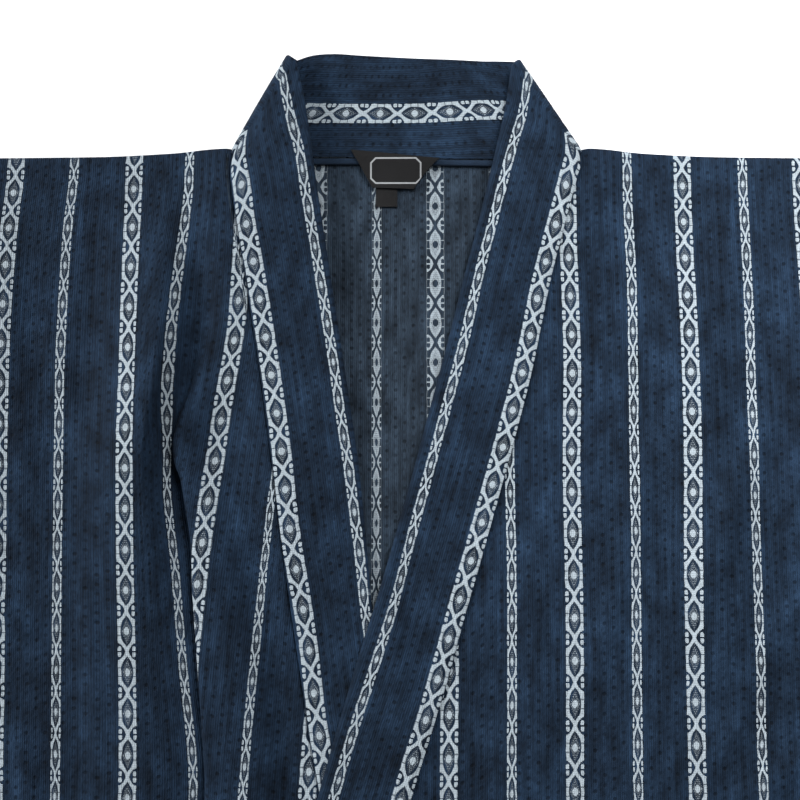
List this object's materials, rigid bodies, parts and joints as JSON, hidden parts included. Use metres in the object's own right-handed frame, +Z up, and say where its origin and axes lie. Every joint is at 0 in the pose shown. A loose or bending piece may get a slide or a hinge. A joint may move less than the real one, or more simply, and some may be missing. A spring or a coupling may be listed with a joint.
{
  "type": "jinbei jacket",
  "caption": "Jinbei jacket laid flat on its back, fronts crossed left over right, with a doubled collar band, straight tube sleeves, side ties and a small neck label.",
  "frame": {"origin": "under the middle of the laid jacket's box, on the surface it lies on", "axes": "+X to the right of someone who looks at the laid jacket (the wearer's left), +Y from the hem to the collar, +Z up off the surface"},
  "size_m": [1.22, 0.8046, 0.0204],
  "materials": {
    "back_cloth": "matt striped cotton, wrong side up at the neck",
    "right_front_cloth": "matt striped cotton",
    "left_front_cloth": "matt striped cotton",
    "collar_cloth": "matt striped cotton, doubled",
    "right_sleeve_cloth": "matt striped cotton",
    "left_sleeve_cloth": "matt striped cotton",
    "label_cloth": "woven satin ribbon",
    "tab_cloth": "woven satin ribbon",
    "left_tie_cloth": "matt cotton",
    "right_tie_cloth": "matt cotton"
  },
  "bodies": {
    "root": {"back_body": "back_cloth", "front_right": "right_front_cloth", "front_left": "left_front_cloth", "collar_band": "collar_cloth", "sleeve_right": "right_sleeve_cloth", "sleeve_left": "left_sleeve_cloth", "neck_label": "label_cloth", "size_tab": "tab_cloth", "tie_left": "left_tie_cloth", "tie_right": "right_tie_cloth"}
  },
  "joints": []
}
